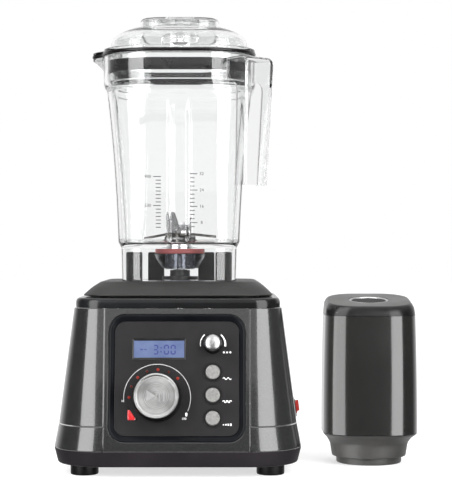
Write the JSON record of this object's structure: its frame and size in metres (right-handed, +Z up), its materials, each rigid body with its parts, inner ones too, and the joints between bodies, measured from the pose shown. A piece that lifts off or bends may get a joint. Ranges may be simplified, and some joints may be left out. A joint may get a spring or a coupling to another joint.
{
  "type": "vacuum blender",
  "caption": "Vacuum blender: tapered motor base with a control panel, clear square jar with a domed lid over steel blades, and a stand-alone vacuum pump.",
  "frame": {"origin": "on the table, under the middle of the whole set of blender and pump", "axes": "+Z up, front towards -Y, the pump to the right at +X"},
  "size_m": [0.373, 0.2557, 0.464],
  "materials": {
    "housing": "dark grey metallic gloss",
    "pan": "dark satin",
    "feet": "matt black rubber",
    "deck": "black gloss",
    "pad": "soft dark grey",
    "bezel": "black gloss",
    "panel": "fine matt black",
    "display": "lit display",
    "black_trim": "satin black",
    "light_red": "red lens",
    "board": "green board",
    "control_parts": "satin",
    "silver": "turned satin metal",
    "rocker": "red gloss",
    "lamination": "stacked laminations",
    "winding": "enamelled copper wire",
    "casting": "cast metal",
    "steel": "polished steel",
    "clear": "clear plastic",
    "gasket": "red silicone",
    "seal": "black silicone",
    "valve": "grey silicone",
    "pump": "dark grey gloss",
    "cells": "sleeved cells"
  },
  "bodies": {
    "base": {"lower_housing": "housing", "left_cover": "housing", "right_cover": "housing", "rear_cover": "housing", "base_pan": "pan", "rubber_feet": "feet", "case_screws": "steel", "top_deck": "deck", "jar_pad": "pad", "panel_bezel": "bezel", "control_panel": "panel", "lcd_module": "display", "button_guides": "black_trim", "speed_leds": "light_red", "start_lens": "light_red", "control_board": "board", "encoders": "control_parts", "switch_housing": "black_trim", "motor_stator": "lamination", "field_coils": "winding", "upper_bracket": "casting", "lower_bracket": "casting", "shaft_bearings": "steel", "brush_holders": "control_parts", "cord_gland": "black_trim"},
    "rotor": {"motor_shaft": "steel", "armature": "lamination", "cooling_fan": "black_trim", "drive_socket": "black_trim"},
    "speed_stem": {"speed_stem": "steel"},
    "speed_knob": {"speed_knob": "black_trim", "speed_knob_cap": "silver"},
    "mode_knob": {"mode_knob": "black_trim", "mode_knob_cap": "silver"},
    "blend_button": {"blend_button": "silver"},
    "pulse_button": {"pulse_button": "silver"},
    "program_button": {"program_button": "silver"},
    "power_rocker": {"power_rocker": "rocker"},
    "jar": {"jar": "clear", "jar_handle": "clear", "blade_bearing": "steel", "seat_gasket": "gasket", "bearing_shroud": "clear", "retainer_nut": "steel"},
    "blades": {"blade_shaft": "steel", "blade_down": "steel", "blade_flat": "steel", "blade_up": "steel", "blade_nut": "steel"},
    "lid": {"lid": "clear", "lid_seal": "seal"},
    "cap": {"lid_cap": "clear", "cap_valve": "valve"},
    "pump": {"pump_shell": "pump", "pump_top": "pump", "pump_collar": "pump", "pump_seal": "seal", "pump_unit": "casting", "pump_battery": "cells"},
    "pump_button": {"pump_button": "silver"}
  },
  "joints": [
    {"name": "jar_lift", "type": "slide", "parent": "base", "child": "jar", "axis": [0, 0, 1], "range_m": [0, 0.15]},
    {"name": "lid_lift", "type": "slide", "parent": "jar", "child": "lid", "axis": [0, 0, 1], "range_m": [0, 0.08]},
    {"name": "cap_twist", "type": "hinge", "parent": "lid", "child": "cap", "pos_m": [-0.062, 0.00994, 0.452], "axis": [0, 0, 1], "range_deg": [0, 45]},
    {"name": "motor_spin", "type": "hinge", "parent": "base", "child": "rotor", "pos_m": [-0.062, 0.00994, 0.11], "axis": [0, 0, 1], "continuous": true},
    {"name": "blade_spin", "type": "hinge", "parent": "jar", "child": "blades", "pos_m": [-0.062, 0.00994, 0.22], "axis": [0, 0, 1], "continuous": true},
    {"name": "speed_press", "type": "slide", "parent": "base", "child": "speed_stem", "axis": [0, 0.9848, -0.1736], "range_m": [0, 0.001], "stiffness_N_per_m": 900},
    {"name": "speed_turn", "type": "hinge", "parent": "speed_stem", "child": "speed_knob", "pos_m": [-0.0814, -0.10873, 0.07993], "axis": [0, 0.9848, -0.1736], "range_deg": [0, 213]},
    {"name": "mode_turn", "type": "hinge", "parent": "base", "child": "mode_knob", "pos_m": [-0.0266, -0.08576, 0.12959], "axis": [0, 0.9848, -0.1736], "range_deg": [-90, 90]},
    {"name": "blend_press", "type": "slide", "parent": "base", "child": "blend_button", "axis": [0, 0.9848, -0.1736], "range_m": [0, 0.0018], "stiffness_N_per_m": 600},
    {"name": "pulse_press", "type": "slide", "parent": "base", "child": "pulse_button", "axis": [0, 0.9848, -0.1736], "range_m": [0, 0.0018], "stiffness_N_per_m": 600},
    {"name": "program_press", "type": "slide", "parent": "base", "child": "program_button", "axis": [0, 0.9848, -0.1736], "range_m": [0, 0.0018], "stiffness_N_per_m": 600},
    {"name": "power_tip", "type": "hinge", "parent": "base", "child": "power_rocker", "pos_m": [0.05334, -0.03406, 0.06261], "axis": [0.1288, 0, -0.9917], "range_deg": [-16, 0]},
    {"name": "pump_lift", "type": "slide", "parent": "base", "child": "pump", "axis": [0, 0, 1], "range_m": [0, 0.2]},
    {"name": "pump_press", "type": "slide", "parent": "pump", "child": "pump_button", "axis": [0, 0.1261, -0.992], "range_m": [0, 0.002], "stiffness_N_per_m": 800}
  ],
  "couplings": [
    {"joint": "blade_spin", "follows": "motor_spin", "ratio": 1}
  ]
}
